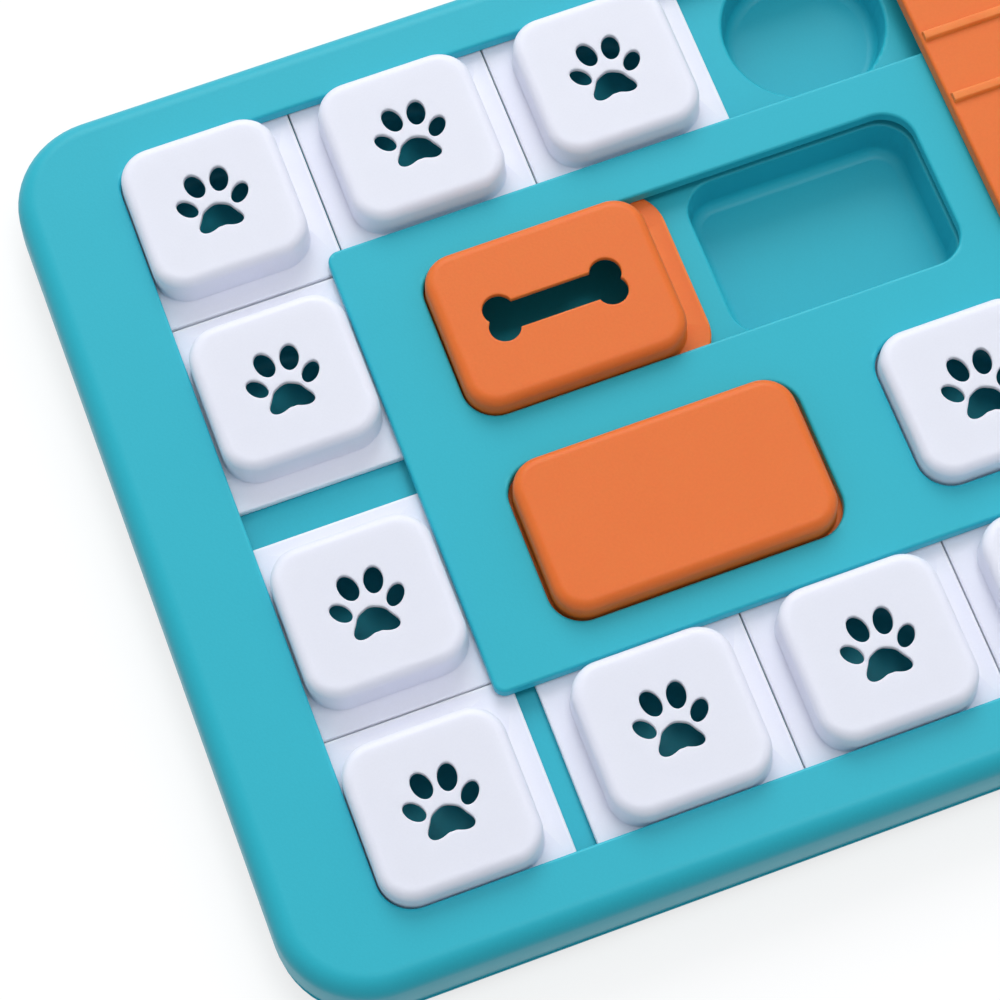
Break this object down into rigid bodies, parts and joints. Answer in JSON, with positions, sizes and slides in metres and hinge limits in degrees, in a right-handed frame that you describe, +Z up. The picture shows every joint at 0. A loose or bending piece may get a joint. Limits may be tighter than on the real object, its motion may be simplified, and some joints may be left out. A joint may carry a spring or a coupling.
{
  "type": "dog puzzle feeder toy",
  "caption": "Board with treat cups in a closed track, covered by sliding paw-hole tiles, with a bone slider, a squeaking press button and a ribbed flip lid.",
  "frame": {"origin": "middle of the board's outline on the ground plane under the rubber feet", "axes": "+X along the board towards the lid end, +Y towards the far long edge, +Z up"},
  "size_m": [0.4256, 0.2496, 0.0276],
  "materials": {
    "teal_plastic": "satin moulded, fine grain",
    "white_plastic": "satin moulded",
    "orange_plastic": "satin moulded",
    "dark_plastic": "plain",
    "bellows_vinyl": "soft vinyl",
    "foot_rubber": "moulded rubber",
    "pin_steel": "drawn wire",
    "screw_steel": "zinc plated"
  },
  "bodies": {
    "board": {"base_tray": "teal_plastic", "top_rim": "teal_plastic", "island_panel": "teal_plastic", "hinge_pin": "pin_steel", "squeaker_bellows": "bellows_vinyl", "squeaker_reed": "dark_plastic", "foot_1": "foot_rubber", "foot_2": "foot_rubber", "foot_3": "foot_rubber", "foot_4": "foot_rubber", "foot_5": "foot_rubber", "foot_6": "foot_rubber", "foot_7": "foot_rubber", "foot_8": "foot_rubber", "case_screws": "screw_steel"},
    "tile_top_1": {"tile_top_1": "white_plastic"},
    "tile_top_2": {"tile_top_2": "white_plastic"},
    "tile_top_3": {"tile_top_3": "white_plastic"},
    "tile_left_1": {"tile_left_1": "white_plastic"},
    "tile_left_2": {"tile_left_2": "white_plastic"},
    "tile_corner_left": {"tile_corner_left": "white_plastic"},
    "tile_bottom_1": {"tile_bottom_1": "white_plastic"},
    "tile_bottom_2": {"tile_bottom_2": "white_plastic"},
    "tile_bottom_3": {"tile_bottom_3": "white_plastic"},
    "tile_corner_right": {"tile_corner_right": "white_plastic"},
    "tile_right_1": {"tile_right_1": "white_plastic"},
    "tile_right_2": {"tile_right_2": "white_plastic"},
    "lane_slider_1": {"lane_slider_1": "white_plastic"},
    "lane_slider_2": {"lane_slider_2": "white_plastic"},
    "bone_slider": {"bone_slider": "orange_plastic"},
    "squeak_button": {"squeak_button": "orange_plastic"},
    "flip_lid": {"flip_lid": "orange_plastic"}
  },
  "joints": [
    {"name": "tile_top_1_slide", "type": "slide", "parent": "board", "child": "tile_top_1", "axis": [1, 0, 0], "range_m": [0, 0.054]},
    {"name": "tile_top_2_slide", "type": "slide", "parent": "board", "child": "tile_top_2", "axis": [1, 0, 0], "range_m": [0, 0.054]},
    {"name": "tile_top_3_slide", "type": "slide", "parent": "board", "child": "tile_top_3", "axis": [1, 0, 0], "range_m": [0, 0.054]},
    {"name": "tile_left_1_slide", "type": "slide", "parent": "board", "child": "tile_left_1", "axis": [0, -1, 0], "range_m": [0, 0.005]},
    {"name": "tile_left_2_slide", "type": "slide", "parent": "board", "child": "tile_left_2", "axis": [0, 1, 0], "range_m": [0, 0.005]},
    {"name": "tile_corner_left_slide", "type": "slide", "parent": "board", "child": "tile_corner_left", "axis": [0, 1, 0], "range_m": [0, 0.005]},
    {"name": "tile_bottom_1_slide", "type": "slide", "parent": "board", "child": "tile_bottom_1", "axis": [1, 0, 0], "range_m": [-0.0045, 0.052]},
    {"name": "tile_bottom_2_slide", "type": "slide", "parent": "board", "child": "tile_bottom_2", "axis": [1, 0, 0], "range_m": [-0.0045, 0.052]},
    {"name": "tile_bottom_3_slide", "type": "slide", "parent": "board", "child": "tile_bottom_3", "axis": [1, 0, 0], "range_m": [-0.0045, 0.052]},
    {"name": "tile_corner_right_slide", "type": "slide", "parent": "board", "child": "tile_corner_right", "axis": [-1, 0, 0], "range_m": [0, 0.054]},
    {"name": "tile_right_1_slide", "type": "slide", "parent": "board", "child": "tile_right_1", "axis": [0, -1, 0], "range_m": [0, 0.054]},
    {"name": "tile_right_2_slide", "type": "slide", "parent": "board", "child": "tile_right_2", "axis": [0, -1, 0], "range_m": [0, 0.054]},
    {"name": "bone_slider_slide", "type": "slide", "parent": "board", "child": "bone_slider", "axis": [1, 0, 0], "range_m": [0, 0.0748]},
    {"name": "lane_slider_1_slide", "type": "slide", "parent": "board", "child": "lane_slider_1", "axis": [1, 0, 0], "range_m": [0, 0.054]},
    {"name": "lane_slider_2_slide", "type": "slide", "parent": "board", "child": "lane_slider_2", "axis": [1, 0, 0], "range_m": [0, 0.054]},
    {"name": "squeak_press", "type": "slide", "parent": "board", "child": "squeak_button", "axis": [0, 0, -1], "range_m": [0, 0.0035], "stiffness_N_per_m": 600, "springref_m": -0.002, "deforming": ["squeaker_bellows"]},
    {"name": "lid_hinge", "type": "hinge", "parent": "board", "child": "flip_lid", "pos_m": [0.0792, 0.00445, 0.0248], "axis": [1, 0, 0], "range_deg": [0, 100]}
  ],
  "couplings": [
    {"joint": "tile_top_2_slide", "follows": "tile_top_1_slide", "ratio": 1},
    {"joint": "tile_top_3_slide", "follows": "tile_top_1_slide", "ratio": 1},
    {"joint": "tile_corner_left_slide", "follows": "tile_left_2_slide", "ratio": 1},
    {"joint": "tile_bottom_2_slide", "follows": "tile_bottom_1_slide", "ratio": 1},
    {"joint": "tile_bottom_3_slide", "follows": "tile_bottom_1_slide", "ratio": 1},
    {"joint": "tile_right_2_slide", "follows": "tile_right_1_slide", "ratio": 1},
    {"joint": "lane_slider_2_slide", "follows": "lane_slider_1_slide", "ratio": 1}
  ]
}
